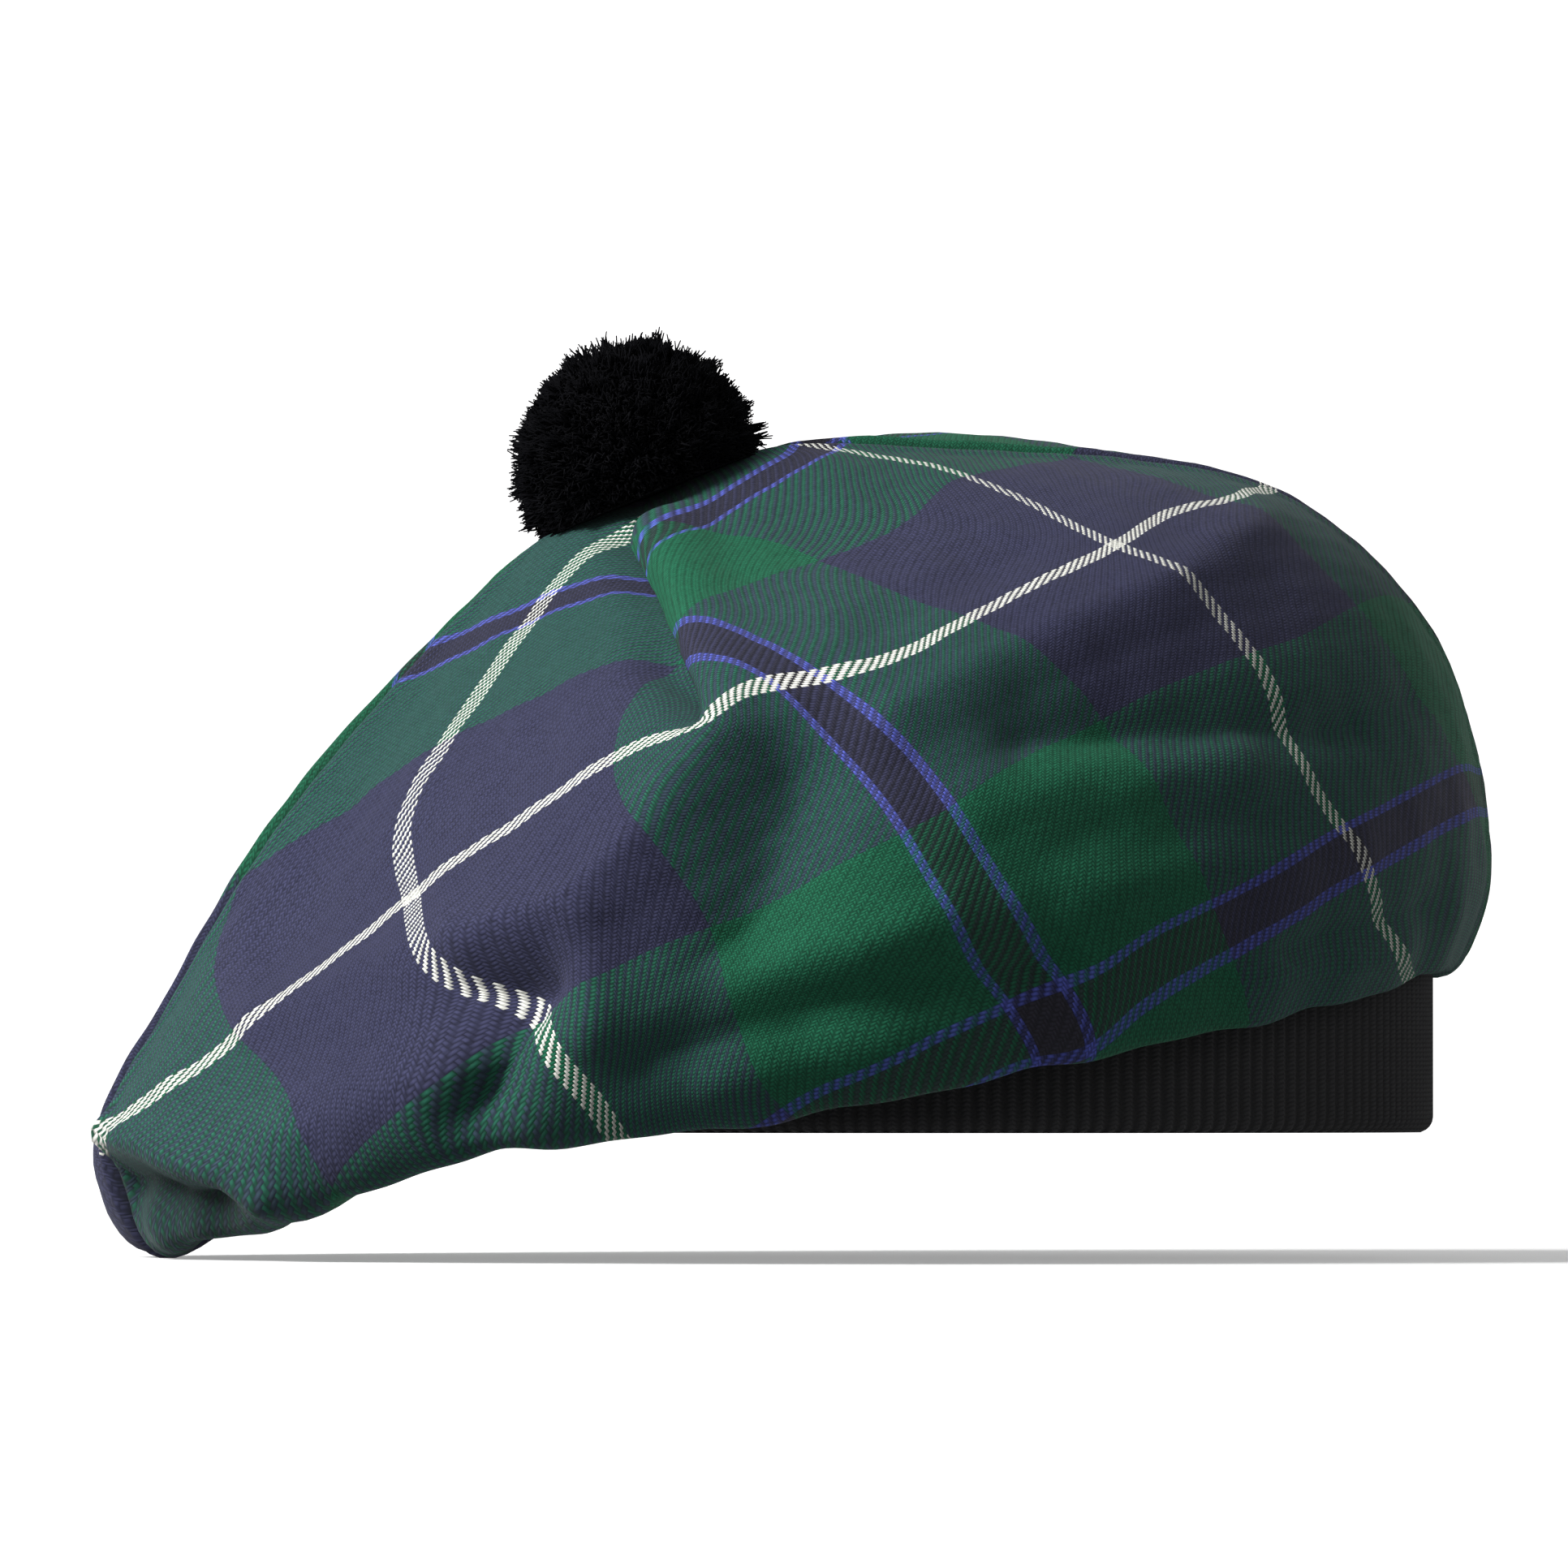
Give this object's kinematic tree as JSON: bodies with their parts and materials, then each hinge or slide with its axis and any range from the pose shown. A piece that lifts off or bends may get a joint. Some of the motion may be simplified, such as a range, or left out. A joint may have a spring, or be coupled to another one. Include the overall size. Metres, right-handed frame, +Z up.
{
  "type": "tam o shanter",
  "caption": "Floppy round checked wool cap sewn from panels, drooping to one side, on a ribbed knit head band, with a yarn pompom on the crown.",
  "frame": {"origin": "centre of the head opening, level with the lower rim of the head band", "axes": "+Z up out of the top of the hat, +X towards the side where the crown stands tall, away from the droop, and the crown's seam lies in the XZ plane"},
  "size_m": [0.2661, 0.2634, 0.1749],
  "materials": {
    "checked_wool": "worsted wool in a two-and-two twill, dark green and navy check with fine blue and white lines",
    "rib_knit": "near-black one-and-one rib knit, doubled, matt",
    "pompom_yarn": "black cut acrylic yarn, matt and fluffy"
  },
  "bodies": {
    "root": {"crown_near_panel": "checked_wool", "crown_far_panel": "checked_wool", "head_band": "rib_knit", "pompom": "pompom_yarn"}
  },
  "joints": []
}
